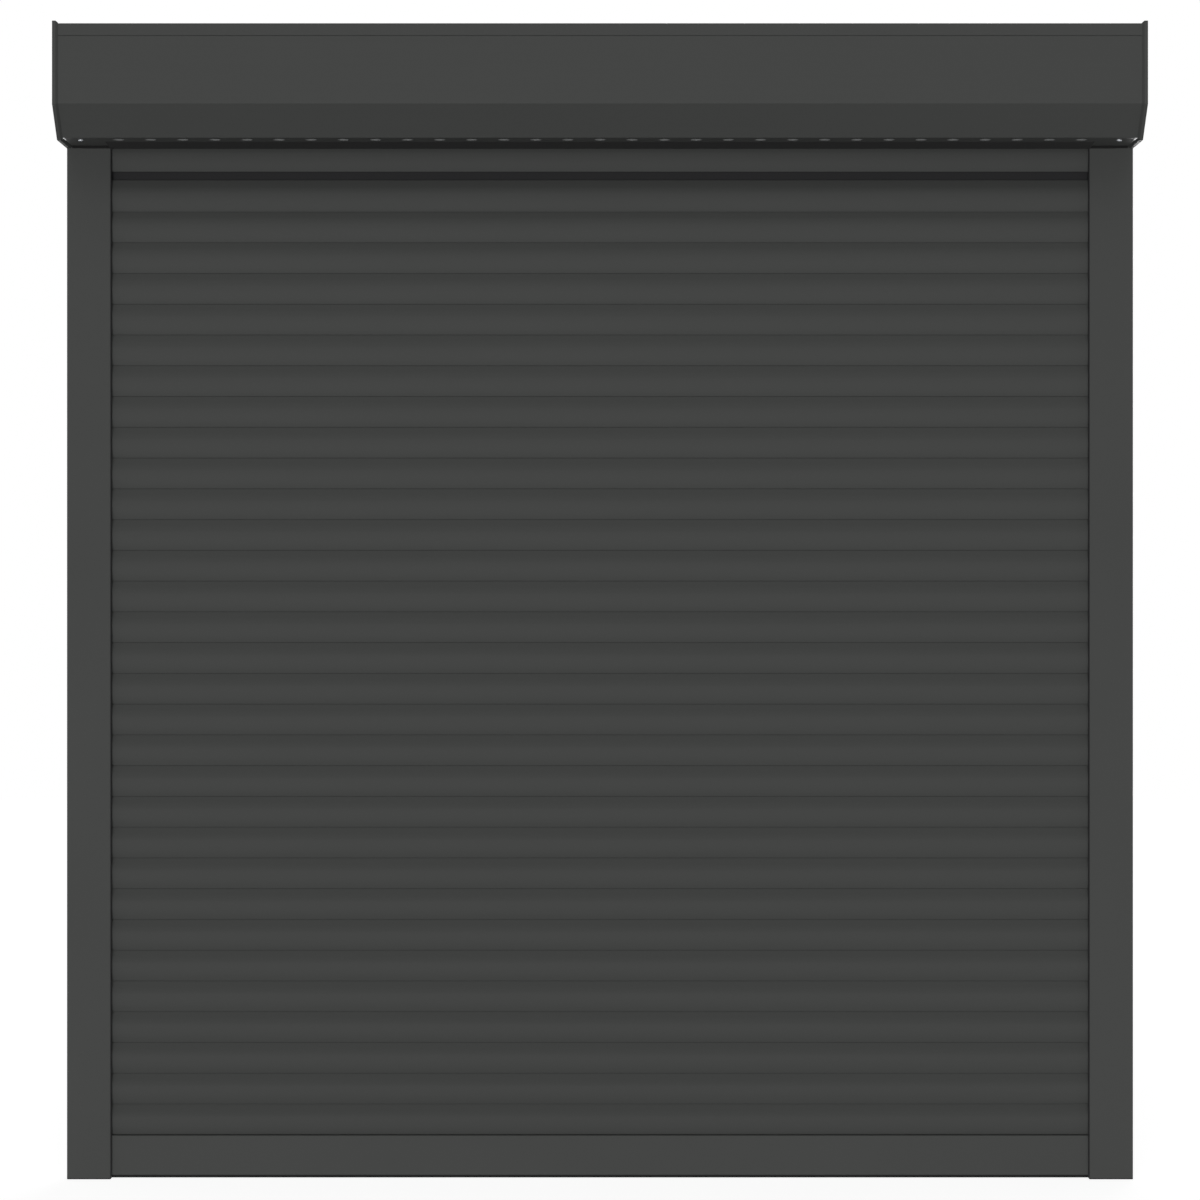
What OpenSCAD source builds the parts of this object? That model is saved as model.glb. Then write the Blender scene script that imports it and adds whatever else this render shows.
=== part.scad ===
// Exterior roller shutter: a curtain of interlocking slats that runs in two guide rails
// and is wound on a motor-driven tube in a box above them.
// X runs along the slats, +Y points to the wall and +Z points up.
// The origin lies below the middle of the box, on the plane of the rails' feet.

/* [Overall] */
// Width over the end caps and over the rails
overall_w = 1300; // [900:10:1800]
// Height of the rails with their feet
rail_h = 1257; // [900:1:1280]

/* [Box] */
// Height of the end caps
box_h = 137; // [132:1:180]
// Depth of the end caps
box_d = 137; // [130:1:180]
// Distance that the end caps stand proud of the sheet
rim = 2.7; // [2:0.1:4]
// Length of each leg of the 45 degree face of the sheet
chamfer = 36.3; // [20:0.1:44]
// Thickness of the box sheet
sheet_t = 1.2; // [0.8:0.1:1.6]
// Outer radius of the bends in the box sheet
bend_r = 2.5; // [2:0.1:4]
// Height of the top shell's lip on the front
lip_h = 14.6; // [10:0.1:25]
// Width of the seam between the two shells
seam = 0.8; // [0.4:0.1:2]
// Height of the cover's tongue behind the lip
tongue_h = 8; // [4:0.5:9]
// Distance of the curtain slot's front edge from the wall
slot_front = 24; // [23:0.5:30]
// Height of the turned-up edge at the curtain slot
slot_edge_h = 8; // [4:0.5:12]
// Diameter of the vent holes
vent_dia = 14.4; // [10:0.1:16]
// Distance between vent holes
vent_pitch = 38.6; // [30:0.1:60]
// Distance of the vent holes from the wall
vent_depth = 81; // [60:0.5:85]
// Distance from the end caps that stays without vent holes
vent_margin = 55; // [50:1:120]

/* [End caps] */
// Thickness of the plate
cap_t = 6.5; // [5:0.1:8]
// Width of the bevel on the inner side of the rim
cap_bevel = 2.6; // [1:0.1:3.5]
// Distance that the rim's bevel ends above the sheet
cap_step = 0.4; // [0.2:0.1:1]
// Thickness of the flange inside the sheet
flange_t = 2; // [1.5:0.1:3]
// Length of the flange inside the sheet
flange_l = 12; // [8:0.5:14]
// Thickness left under blind holes in the plate
cap_skin = 1.5; // [1:0.1:2.5]
// Radius of the plate's corners
cap_corner_r = 2; // [1:0.5:4]
// Length of the spigot in the rail's chamber
spigot_l = 40; // [20:1:60]
// Diameter of the screws' heads
screw_head = 7; // [5:0.5:8]
// Height of the screws' heads
screw_head_h = 1.8; // [1.5:0.1:2.5]
// Diameter of the screws' holes
screw_dia = 3.9; // [3:0.1:4.5]
// Distance of the cover screws from the outside of the end caps
cover_screw_in = 26; // [22:0.5:34]
// Thickness of the lug for the cover screw
lug_t = 5; // [3:0.5:8]
// Width of the lug for the cover screw
lug_w = 14; // [10:0.5:18]
// Wall of the bearing's boss
boss_wall = 5; // [3:0.5:8]
// Width of the shoulder behind the bearing's outer ring
bearing_shoulder = 2; // [1.5:0.1:3]
// Distance of the bearing from the plate
bearing_recess = 6; // [4:0.5:8]

/* [Guide rails] */
// Width seen from the front
rail_w = 53; // [45:0.5:65]
// Depth from the wall
rail_d = 22; // [21:0.1:22.8]
// Wall of the extrusion
rail_wall = 1.6; // [1.2:0.1:2]
// Width of the hollow chamber with its outer wall
chamber_w = 18; // [14:0.5:22]
// Length of the thick lips that hold the seals
mouth_l = 9; // [7:0.5:12]
// Gap between the seals and the slats
seal_gap = 0.3; // [0.2:0.05:0.5]
// Height of the seals' pile
seal_reach = 1.3; // [0.8:0.1:1.5]
// Width of the seals' grooves
groove_w = 2.2; // [1.6:0.1:3]
// Width of the seals' roots in the grooves
groove_head_w = 4.6; // [3.6:0.1:6]
// Depth of the wide part of the grooves
groove_head_d = 1.4; // [1:0.1:1.6]
// Depth of the narrow part of the grooves
groove_neck_d = 1.1; // [0.8:0.1:1.3]
// Radius of the outer corners
rail_corner_r = 0.8; // [0.4:0.1:1.5]
// Diameter of the fixing holes through the side
fix_dia = 5.5; // [4:0.1:7]
// Height of the lower fixing holes
fix_low = 110; // [80:1:200]
// Distance of the upper fixing holes from the rails' top
fix_top = 110; // [80:1:200]
// Thickness of the feet under the rails
foot_t = 1.5; // [1:0.1:3]
// Height of the foot's plug in the rail's chamber
foot_plug_h = 12; // [6:0.5:25]
// Height of the inlet funnels
funnel_h = 26; // [15:0.5:35]
// Sheet thickness of the inlet funnels
funnel_t = 1.8; // [1.2:0.1:2.5]
// Distance that the front cheek of a funnel leans forward
funnel_lean = 10; // [4:0.5:14]

/* [Slats] */
// Visible height of one slat
slat_pitch = 37.6; // [36.8:0.1:40]
// Thickness
slat_t = 9; // [8.6:0.1:9.4]
// Distance of the slats' rear face from the wall
slat_back = 6.5; // [6.4:0.1:6.9]
// Height of the crowned part of the front, below the next slat
crown_h = 16.5; // [15.5:0.1:17.5]
// Radius of the crown
crown_r = 25.5; // [24:0.5:27]
// Lean of the front above the crown, in degrees
crown_lean = 22; // [21:0.5:23.5]
// Height of a slat's front behind the lip of the next
crown_over = 1.4; // [1:0.1:2]
// Radius of the shoulder at the top of the front
shoulder_r = 1.2; // [0.8:0.1:1.5]
// Thickness of the skin
skin_t = 0.6; // [0.5:0.05:0.8]
// Width of the rounded lip at the lower edge
lip_w = 0.8; // [0.7:0.05:1]
// Thickness of the hook's neck
neck_t = 0.9; // [0.7:0.05:1.1]
// Width of the hook
hook_w = 2.6; // [2.2:0.1:2.7]
// Thickness of the hook
hook_t = 1.4; // [1:0.1:1.8]
// Thickness of the ledge that holds the hook
ledge_t = 1.2; // [1:0.1:1.6]
// Distance that one slat can be drawn out from the next
draw = 11.4; // [8:0.1:14]
// Length of the slats inside each rail
slat_in_rail = 25; // [18:0.5:27]
// Visible height of the top slat under the box
top_slat_show = 27; // [20:0.5:36]
// Running clearance between neighbouring pieces
clear = 0.35; // [0.3:0.05:0.45]

/* [Bottom bar] */
// Height of the bar without its seal
bar_h = 49; // [40:0.5:70]
// Clear height under the bar
bar_lift = 4; // [3.5:0.1:8]
// Wall of the bar
bar_wall = 1.4; // [1:0.1:1.8]
// Radius of the bar's front edges
bar_edge_r = 1.2; // [0.6:0.1:1.5]
// Distance of the seal's underside from the ground
seal_lift = 2; // [1.9:0.1:3]
// Width of the seal's neck
seal_neck = 3; // [2:0.1:3.2]
// Distance that the seal's root is wider than its neck on each side
seal_root_w = 1.2; // [0.8:0.1:1.2]
// Height of the seal's root
seal_head_h = 2; // [1.5:0.1:3]
// Radius of the seal's edges
seal_edge_r = 0.5; // [0.2:0.1:0.8]
// Length of the glides beyond the bar's ends
glide_l = 4; // [2:0.5:5]
// Length of the glides' stems inside the bar
glide_stem_l = 30; // [15:1:60]

/* [Winding tube] */
// Width of the octagonal tube across its flats
tube_af = 40; // [38:0.5:44]
// Wall of the tube
tube_wall = 0.8; // [0.6:0.1:1]
// Diameter of the idler pin
pin_dia = 12; // [10:0.5:15]
// Difference in diameter between pins or rings and their bores
pin_fit = 0.1; // [0.06:0.02:0.2]
// Outer diameter of the ball bearing
bearing_od = 28; // [26:0.5:32]
// Width of the ball bearing
bearing_w = 8; // [6:0.5:10]
// Gap between the bearing's rings
ring_gap = 0.3; // [0.2:0.05:0.6]
// Length of the idler plug in the tube
idler_l = 60; // [40:1:90]
// Thickness of the idler plug's flange
idler_flange_t = 3; // [2:0.5:5]
// Gap between the bearing and the idler plug's flange
idler_gap = 1; // [0.5:0.1:3]
// Length of the pin inside the tube
pin_in_tube = 30; // [20:1:38]
// Number of hanging straps
strap_count = 3; // [2:1:5]
// Width of a hanging strap
strap_w = 22; // [15:1:30]
// Thickness of a hanging strap
strap_t = 0.6; // [0.4:0.05:0.8]
// Radius of the bends in a hanging strap
strap_bend_r = 8; // [4:0.5:10]
// Height of a strap's upright end above the top slat's hook
strap_rise = 12; // [8:0.5:14]

/* [Motor] */
// Diameter of the motor's tube
motor_dia = 35; // [32:0.5:35.5]
// Length of the motor's tube
motor_l = 470; // [300:5:560]
// Diameter of the motor's head
head_dia = 44; // [42:0.5:50]
// Length of the motor's head
head_l = 18; // [12:0.5:22]
// Depth of the step on the motor's tube under the running ring
motor_step = 1; // [0.6:0.1:1.5]
// Side of the square pin on the motor's head
head_pin = 10; // [8:0.5:12]
// Diameter of the motor's shaft
shaft_dia = 10; // [8:0.5:12]
// Length of the shaft inside the motor
shaft_in = 20; // [10:1:30]
// Length of the drive wheel
wheel_l = 24; // [12:1:30]
// Gap between the motor's end and the drive wheel
wheel_gap = 4; // [2:0.5:10]
// Length of the running ring in the tube
crown_l = 20; // [10:1:30]
// Thickness of the running ring's flange
crown_flange_t = 1.5; // [1:0.1:3]
// Thickness of the motor's bracket
bracket_t = 6; // [4:0.5:7]
// Side of the motor's bracket
bracket_w = 60; // [58:1:66]
// Distance between the bracket's screws
bracket_pitch = 48; // [44:0.5:50]
// Diameter of the hole for the motor's lead in the rear wall
lead_hole_dia = 12; // [8:0.5:16]
// Distance of the lead's hole from the outside of the right end cap
lead_hole_in = 70; // [40:1:150]
// Distance of the lead's hole from the top of the box
lead_hole_down = 35; // [20:1:100]

/* [Hidden] */
$fn = 48;
eps = 0.01;
cut = 1;
overlap = 0.1;
seal_fit = 0.1;
crown_steps = 10;
shoulder_steps = 4;
lip_steps = 6;
anthracite = "#454645";
wall_y = box_d / 2;

// Levels of the box
cap_z = rail_h;
cap_top = cap_z + box_h;
sheet_z = cap_z + rim;
sheet_top = cap_top - rim;
sheet_front = box_d - rim;
sheet_w = overall_w - 2 * cap_t;
box_inside_x = overall_w / 2 - cap_t;
seam_z = sheet_top - lip_h;
cover_top = seam_z - seam;
tongue_front = sheet_front - sheet_t - clear;
tongue_back = tongue_front - sheet_t;
tongue_root = cover_top - 2 * sheet_t;

// Tube axis, as a distance from the wall and a height
tube_axis = [box_d / 2, cap_z + box_h / 2];
tube_inside_af = tube_af - 2 * tube_wall;
ring_dia = (bearing_od + pin_dia) / 2;

// Slat section, as distances from the slat's rear face and heights above its lower edge
neck_back = skin_t + clear;
neck_front = neck_back + neck_t;
crown_centre = [slat_t - crown_r, slat_pitch - crown_h];
crown_top = slat_pitch + crown_over;
ledge_tip = neck_front + clear;
ledge_z = crown_top - slat_pitch + clear;
pocket_z = ledge_z + ledge_t;
pocket_front = neck_back + hook_w + 2 * clear;
hook_z = pocket_z + draw + clear;
hook_top = hook_z + hook_t;
pocket_top = hook_top + clear;
slat_l = overall_w - 2 * (rail_w - slat_in_rail);

// Curtain levels: the joints at the top are drawn out to fill the height
bar_top = bar_lift + bar_h;
seal_head_w = seal_neck + 2 * seal_root_w;
top_slat_z = rail_h - top_slat_show;
slat_count = floor((top_slat_z - bar_top) / slat_pitch);
spare_h = top_slat_z - bar_top - slat_count * slat_pitch;
drawn_joints = max(1, ceil(spare_h / draw));
function slat_z(i) =
    bar_top + (i - 1) * slat_pitch
    + max(0, i - 1 - slat_count + drawn_joints) * spare_h / drawn_joints;

// Rail section, as distances from the rail's outer side and from the wall
channel_from = chamber_w + rail_wall;
mouth_from = rail_w - mouth_l;
slat_front = slat_back + slat_t;
mouth_back = slat_back - seal_gap - seal_reach;
mouth_front = slat_front + seal_gap + seal_reach;

// Places along the tube
bearing_x = box_inside_x - bearing_recess;
tube_left = bearing_x - bearing_w - idler_gap - idler_flange_t;
bracket_x = box_inside_x - bracket_t;
head_from = bracket_x - head_l;
tube_right = head_from - clear - crown_flange_t;
motor_end = head_from - motor_l;
motor_neck_dia = motor_dia - 2 * motor_step;
wheel_from = motor_end - wheel_gap - wheel_l;

SLATS = [for (i = [1:slat_count]) str("slat_", i)];

// Points of an arc from angle a to angle b
function arc(centre, r, a, b, steps) =
    [for (i = [0:steps]) centre + r * [cos(a + (b - a) * i / steps), sin(a + (b - a) * i / steps)]];

// An arc without its first point, to follow another one
function arc_after(centre, r, a, b, steps) =
    let (points = arc(centre, r, a, b, steps))
    [for (i = [1:steps]) points[i]];

function unit(v) = v / norm(v);
function left_of(v) = [-v[1], v[0]];
function reversed(p) = [for (i = [len(p) - 1:-1:0]) p[i]];

// An open path moved sideways by s, to its left where s is positive
function beside(p, s) =
    [for (i = [0:len(p) - 1])
        let (last = len(p) - 1,
             a = unit(p[max(i, 1)] - p[max(i, 1) - 1]),
             b = unit(p[min(i, last - 1) + 1] - p[min(i, last - 1)]))
        p[i] + s * (left_of(a) + left_of(b)) / (1 + a * b)];

// A path's corner p between its neighbours, rounded to radius r
function rounded_corner(before, p, after, r, steps) =
    let (a = unit(p - before),
         b = unit(after - p),
         turn = a[0] * b[1] - a[1] * b[0] > 0 ? 1 : -1,
         bend = acos(a * b),
         centre = p - a * r * tan(bend / 2) + turn * r * left_of(a),
         from = atan2(-turn * left_of(a)[1], -turn * left_of(a)[0]))
    arc(centre, r, from, from + turn * bend, steps);

// An open path with its inner corners rounded, to one radius or to a list of radii
function rounded_path(p, r, steps = 4) =
    [for (i = [0:len(p) - 1])
        each i == 0 || i == len(p) - 1 ? [p[i]]
            : rounded_corner(p[i - 1], p[i], p[i + 1], is_list(r) ? r[i] : r, steps)];

// A closed outline with all its corners rounded
function rounded_outline(p, r, steps = 4) =
    [for (i = [0:len(p) - 1])
        each rounded_corner(p[(i + len(p) - 1) % len(p)], p[i], p[(i + 1) % len(p)], r, steps)];

// A sheet along a path, with its thickness to the path's right
function sheet_outline(p, t, r) =
    concat(rounded_path(p, r), reversed(rounded_path(beside(p, -t), max(r - t, t / 2))));

// The outside of the box sheet, clockwise from the wall: distances from the wall and heights
box_path = [
    [0, sheet_z], [0, sheet_top], [sheet_front, sheet_top],
    [sheet_front, sheet_z + chamfer], [sheet_front - chamfer, sheet_z], [slot_front, sheet_z]];

// Draws a section of distances from the wall and heights, as a bar along X
module along_x(from, to)
    translate([from, wall_y, 0])
        rotate([90, 0, 90])
            linear_extrude(to - from)
                mirror([1, 0])
                    children();

// Draws a plan of distances from the right-hand outer side and from the wall, as an upright
module upright(from, to)
    translate([overall_w / 2, wall_y, from])
        linear_extrude(to - from)
            rotate(180)
                children();

// A cylinder along X on the tube's axis
module on_axis(from, to, dia, sides = $fn)
    translate([from, wall_y - tube_axis[0], tube_axis[1]])
        rotate([0, 90, 0])
            rotate(sides == 8 ? 22.5 : 0)
                cylinder(d = dia, h = to - from, $fn = sides);

// What is drawn for the right-hand side, on the left
module left_hand()
    mirror([1, 0, 0])
        children();

// Box: rear wall, top and front lip in one sheet
module box_top_shell()
    color(anthracite)
        difference() {
            along_x(-sheet_w / 2, sheet_w / 2)
                polygon(sheet_outline(
                    [box_path[0], box_path[1], box_path[2], [sheet_front, seam_z]], sheet_t, bend_r));
            translate([overall_w / 2 - lead_hole_in, wall_y + cut, sheet_top - lead_hole_down])
                rotate([90, 0, 0])
                    cylinder(d = lead_hole_dia, h = sheet_t + 2 * cut);
        }

// Box: front, 45 degree face and vented underside in one sheet, with a tongue behind the lip
module box_front_cover()
    color(anthracite)
        difference() {
            along_x(-sheet_w / 2, sheet_w / 2)
                polygon(cover_outline());
            vent_holes();
            cover_screw_places()
                cylinder(d = screw_dia, h = 2 * (sheet_t + cut), center = true);
            tongue_end();
            left_hand()
                tongue_end();
        }

// The cover's sheet, with the tongue set back from its upper edge by a clearance
function cover_outline() =
    let (sheet = sheet_outline(
             [[sheet_front, cover_top], box_path[3], box_path[4], box_path[5],
              box_path[5] + [0, slot_edge_h]], sheet_t, bend_r),
         inside = sheet_front - sheet_t)
    concat(
        [for (i = [0:len(sheet) - 2]) sheet[i]],
        [[inside, tongue_root], [tongue_back, tongue_root], [tongue_back, seam_z + tongue_h],
         [tongue_front, seam_z + tongue_h], [tongue_front, tongue_root + sheet_t],
         [inside, tongue_root + sheet_t], [inside, cover_top]]);

// Cuts the tongue's right-hand end back to clear the end cap's flange
module tongue_end()
    along_x(sheet_w / 2 - flange_l - clear, sheet_w / 2 + cut)
        translate([tongue_back - cut, tongue_root - cut])
            square([cut + sheet_t + clear, seam_z + tongue_h - tongue_root + 2 * cut]);

module vent_holes() {
    row_w = sheet_w - 2 * vent_margin;
    gaps = floor(row_w / vent_pitch);
    for (i = [0:gaps])
        translate([(i - gaps / 2) * vent_pitch, wall_y - vent_depth, sheet_z + sheet_t / 2])
            cylinder(d = vent_dia, h = 2 * (sheet_t + cut), center = true);
}

module cover_screw_places()
    for (side = [-1, 1])
        translate([side * (overall_w / 2 - cover_screw_in), wall_y - vent_depth, sheet_z])
            children();

// Screws up through the cover into the end caps' lugs, and through the motor's bracket
module screws()
    color("gainsboro") {
        cover_screw_places()
            screw(sheet_t + lug_t);
        bracket_screw_places()
            translate([0, 0, -bracket_t])
                screw(bracket_t + cap_t - 2 * cap_skin);
    }

// A screw with its head under the plane z = 0
module screw(length) {
    translate([0, 0, -screw_head_h])
        cylinder(d = screw_head, h = screw_head_h);
    cylinder(d = screw_dia - 2 * pin_fit, h = length);
}

// End caps: corners of the plate, clockwise from the wall
cap_chamfer = chamfer + rim * (2 - sqrt(2));
cap_corners = [
    [0, cap_z], [0, cap_top], [box_d, cap_top],
    [box_d, cap_z + cap_chamfer], [box_d - cap_chamfer, cap_z]];

module cap_body() {
    flange_end = box_path[5] + [sheet_t + bend_r, 0];
    flange_path = beside(
        concat([for (i = [0:len(box_path) - 2]) box_path[i]], [flange_end]), -sheet_t - clear);
    difference() {
        along_x(box_inside_x, overall_w / 2)
            polygon(rounded_outline(cap_corners, cap_corner_r));
        for (i = [1:len(cap_corners) - 1])
            rim_bevel(cap_corners[i], cap_corners[(i + 1) % len(cap_corners)]);
    }
    along_x(box_inside_x - flange_l, box_inside_x + eps)
        polygon(sheet_outline(flange_path, flange_t, bend_r));
    cap_lug();
    rail_spigot();
}

// Cuts the rim's bevel along the plate's edge from p to q
module rim_bevel(p, q) {
    bevel_h = rim - cap_step;
    edge = norm(q - p);
    over_w = cap_bevel * cut / bevel_h;
    over_h = bevel_h * cut / cap_bevel;
    translate([box_inside_x, wall_y - p[0], p[1]])
        rotate([atan2(q[1] - p[1], p[0] - q[0]), 0, 0])
            translate([0, edge + rim, 0])
                rotate([90, 0, 0])
                    linear_extrude(edge + 2 * rim)
                        polygon([[-cut, -cut], [cap_bevel + over_w, -cut], [-cut, bevel_h + over_h]]);
}

// Lug on the flange that takes the cover screw
module cap_lug() {
    lug_z = sheet_z + sheet_t + clear;
    lug_from = overall_w / 2 - cover_screw_in - lug_w / 2;
    difference() {
        translate([lug_from, wall_y - vent_depth - lug_w / 2, lug_z])
            cube([box_inside_x - lug_from + eps, lug_w, lug_t]);
        cover_screw_places()
            cylinder(d = screw_dia, h = sheet_t + clear + lug_t + cut);
    }
}

// Shelf on top of the rail, with a spigot down into the rail's chamber
module rail_spigot() {
    shelf_t = rim - clear;
    upright(cap_z, cap_z + shelf_t)
        square([chamber_w + rail_wall, rail_d]);
    upright(cap_z - spigot_l, cap_z + eps)
        difference() {
            chamber_plug();
            translate([rail_wall + clear + flange_t, rail_wall + clear + flange_t])
                square([chamber_w - rail_wall - 2 * (clear + flange_t),
                        rail_d - 2 * (rail_wall + clear + flange_t)]);
        }
}

// Plan of a plug that fits the rail's chamber
module chamber_plug()
    translate([rail_wall + clear, rail_wall + clear])
        square([chamber_w - rail_wall - 2 * clear, rail_d - 2 * (rail_wall + clear)]);

module end_cap_left()
    color(anthracite)
        difference() {
            union() {
                left_hand()
                    cap_body();
                on_axis(-box_inside_x - eps, bearing_w - bearing_x, bearing_od + 2 * boss_wall);
            }
            on_axis(-bearing_x, bearing_w - bearing_x + cut, bearing_od);
            on_axis(cap_skin - overall_w / 2, bearing_w - bearing_x, bearing_od - 2 * bearing_shoulder);
        }

module end_cap_right()
    color(anthracite)
        difference() {
            cap_body();
            bracket_screw_places()
                cylinder(d = screw_dia, h = 2 * (cap_t - cap_skin), center = true);
        }

// Guide rails
module rail_section()
    difference() {
        polygon(rounded_outline([[0, 0], [rail_w, 0], [rail_w, rail_d], [0, rail_d]],
            rail_corner_r));
        translate([rail_wall, rail_wall])
            square([chamber_w - rail_wall, rail_d - 2 * rail_wall]);
        translate([channel_from, rail_wall])
            square([mouth_from - channel_from, rail_d - 2 * rail_wall]);
        translate([mouth_from - eps, mouth_back])
            square([mouth_l + cut, mouth_front - mouth_back]);
        seal_places()
            seal_root(0);
    }

// Groove of a seal and the part of the seal that fills it, less a clearance
module seal_root(gap) {
    translate([-groove_w / 2 + gap, -groove_neck_d - groove_head_d / 2])
        square([groove_w - 2 * gap, groove_neck_d + groove_head_d / 2 + overlap]);
    translate([-groove_head_w / 2 + gap, -groove_neck_d - groove_head_d + gap])
        square([groove_head_w - 2 * gap, groove_head_d - 2 * gap]);
}

module seal_places() {
    middle = mouth_from + mouth_l / 2;
    translate([middle, mouth_back])
        children();
    translate([middle, mouth_front])
        mirror([0, 1])
            children();
}

module guide_rail()
    color(anthracite)
        difference() {
            upright(foot_t, rail_h)
                rail_section();
            for (z = [fix_low, rail_h - fix_top])
                translate([overall_w / 2 - channel_from - cut, wall_y - rail_d / 2, z])
                    rotate([0, 90, 0])
                        cylinder(d = fix_dia, h = channel_from + 2 * cut);
        }

module guide_rail_left()
    left_hand()
        guide_rail();

module guide_rail_right()
    guide_rail();

// Seal strips in the rail's lips: a rooted strip with a soft tapered pile
module rail_seals()
    color("#1c1c1c")
        upright(foot_t, rail_h)
            seal_places() {
                seal_root(seal_fit);
                polygon([[-groove_w / 2, 0], [groove_w / 2, 0],
                         [groove_w / 4, seal_reach], [-groove_w / 4, seal_reach]]);
            }

module rail_seals_left()
    left_hand()
        rail_seals();

module rail_seals_right()
    rail_seals();

// Feet: plates under the rails with a plug up into the chamber
module rail_foot()
    color("#2b2b2b") {
        upright(0, foot_t)
            polygon(rounded_outline([[0, 0], [rail_w, 0], [rail_w, rail_d], [0, rail_d]],
                rail_corner_r));
        upright(foot_t - eps, foot_t + foot_plug_h)
            chamber_plug();
    }

module rail_foot_left()
    left_hand()
        rail_foot();

module rail_foot_right()
    rail_foot();

// Inlet funnels: two cheeks that lead the slats into the channel, joined by a web
module inlet_funnel()
    color("#2b2b2b") {
        from = overall_w / 2 - rail_w;
        to = overall_w / 2 - channel_from - clear;
        cheek_back = slat_back - clear;
        cheek_front = slat_front + clear;
        top = rail_h + funnel_h;
        along_x(from, to) {
            polygon([[cheek_front, rail_h], [cheek_front + 2 * funnel_t, rail_h],
                     [cheek_front + funnel_lean + funnel_t, top], [cheek_front + funnel_lean, top]]);
            polygon([[cheek_back, rail_h], [cheek_back - funnel_t, rail_h],
                     [cheek_back - 2 * funnel_t, top], [cheek_back - funnel_t, top]]);
        }
        along_x(to - funnel_t, to)
            polygon([[cheek_back - funnel_t, rail_h], [cheek_front + 2 * funnel_t, rail_h],
                     [cheek_front + funnel_lean + funnel_t, top], [cheek_back - 2 * funnel_t, top]]);
    }

module inlet_funnel_left()
    left_hand()
        inlet_funnel();

module inlet_funnel_right()
    inlet_funnel();

// Winding tube and what turns with it
function octagon_dia(across_flats) = across_flats / cos(22.5);

module winding_tube()
    color("lightsteelblue")
        difference() {
            on_axis(-tube_left, tube_right, octagon_dia(tube_af), 8);
            on_axis(-tube_left - cut, tube_right + cut, octagon_dia(tube_inside_af), 8);
        }

module idler_plug()
    color("#2b2b2b")
        difference() {
            union() {
                on_axis(-tube_left - idler_flange_t, -tube_left, octagon_dia(tube_af));
                on_axis(-tube_left - eps, idler_l - tube_left, octagon_dia(tube_inside_af - 2 * clear), 8);
            }
            on_axis(-tube_left - idler_flange_t - cut, pin_in_tube - tube_left, pin_dia + pin_fit);
        }

module idler_pin()
    color("silver")
        on_axis(-bearing_x, pin_in_tube - tube_left, pin_dia);

module bearing_inner_ring()
    color("silver")
        difference() {
            on_axis(-bearing_x, bearing_w - bearing_x, ring_dia - ring_gap);
            on_axis(-bearing_x - cut, bearing_w - bearing_x + cut, pin_dia + pin_fit);
        }

module bearing_outer_ring()
    color("silver")
        difference() {
            on_axis(-bearing_x, bearing_w - bearing_x, bearing_od - pin_fit);
            on_axis(-bearing_x - cut, bearing_w - bearing_x + cut, ring_dia + ring_gap);
        }

// Motor: tube, head and square pin in the bracket
module tubular_motor()
    color("whitesmoke")
        difference() {
            union() {
                on_axis(motor_end, head_from + eps, motor_neck_dia);
                on_axis(motor_end, tube_right - crown_l - clear, motor_dia);
                on_axis(head_from, bracket_x, head_dia);
                translate([bracket_x - eps, wall_y - tube_axis[0] - head_pin / 2,
                           tube_axis[1] - head_pin / 2])
                    cube([bracket_t - clear + eps, head_pin, head_pin]);
            }
            on_axis(motor_end - cut, motor_end + shaft_in, shaft_dia + pin_fit);
        }

module running_ring()
    color("#2b2b2b")
        difference() {
            union() {
                on_axis(tube_right - crown_l, tube_right + eps, octagon_dia(tube_inside_af - 2 * clear), 8);
                on_axis(tube_right, tube_right + crown_flange_t, octagon_dia(tube_af));
            }
            on_axis(tube_right - crown_l - cut, tube_right + crown_flange_t + cut,
                motor_neck_dia + 2 * clear);
        }

module motor_shaft()
    color("silver")
        on_axis(wheel_from, motor_end + shaft_in - clear, shaft_dia);

module drive_wheel()
    color("#2b2b2b")
        difference() {
            on_axis(wheel_from, wheel_from + wheel_l, octagon_dia(tube_inside_af - 2 * clear), 8);
            on_axis(wheel_from - cut, wheel_from + wheel_l + cut, shaft_dia + pin_fit);
        }

module bracket_screw_places()
    for (a = [-1, 1], b = [-1, 1])
        translate([box_inside_x, wall_y - tube_axis[0] + a * bracket_pitch / 2,
                   tube_axis[1] + b * bracket_pitch / 2])
            rotate([0, 90, 0])
                children();

module motor_bracket()
    color("silver")
        difference() {
            along_x(bracket_x, box_inside_x)
                translate(tube_axis)
                    difference() {
                        square(bracket_w, center = true);
                        square(head_pin + 2 * pin_fit, center = true);
                    }
            bracket_screw_places()
                cylinder(d = screw_dia, h = 2 * (bracket_t + cut), center = true);
        }

// Straps of spring steel from the tube's rear flat to the hook of the top slat
module hanging_straps() {
    flat = tube_axis[0] - tube_af / 2;
    flat_h = tube_af * tan(22.5) / 2;
    bead_front = slat_back + neck_back + hook_w + clear;
    bead_under = slat_z(slat_count + 1) + slat_pitch + hook_z - clear;
    path = [
        [flat, tube_axis[1] + flat_h], [flat, tube_axis[1] - flat_h],
        [bead_front + strap_t, bead_under + strap_rise], [bead_front + strap_t, bead_under - strap_t],
        [slat_back + neck_front + clear, bead_under - strap_t]];
    radii = [0, strap_bend_r, strap_bend_r, 2 * strap_t, 0];
    color("slategray")
        for (i = [1:strap_count])
            translate([(i - (strap_count + 1) / 2) * slat_l / (strap_count + 1), 0, 0])
                along_x(-strap_w / 2, strap_w / 2)
                    polygon(concat(rounded_path(path, radii),
                        reversed(rounded_path(beside(path, -strap_t), radii))));
}

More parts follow.
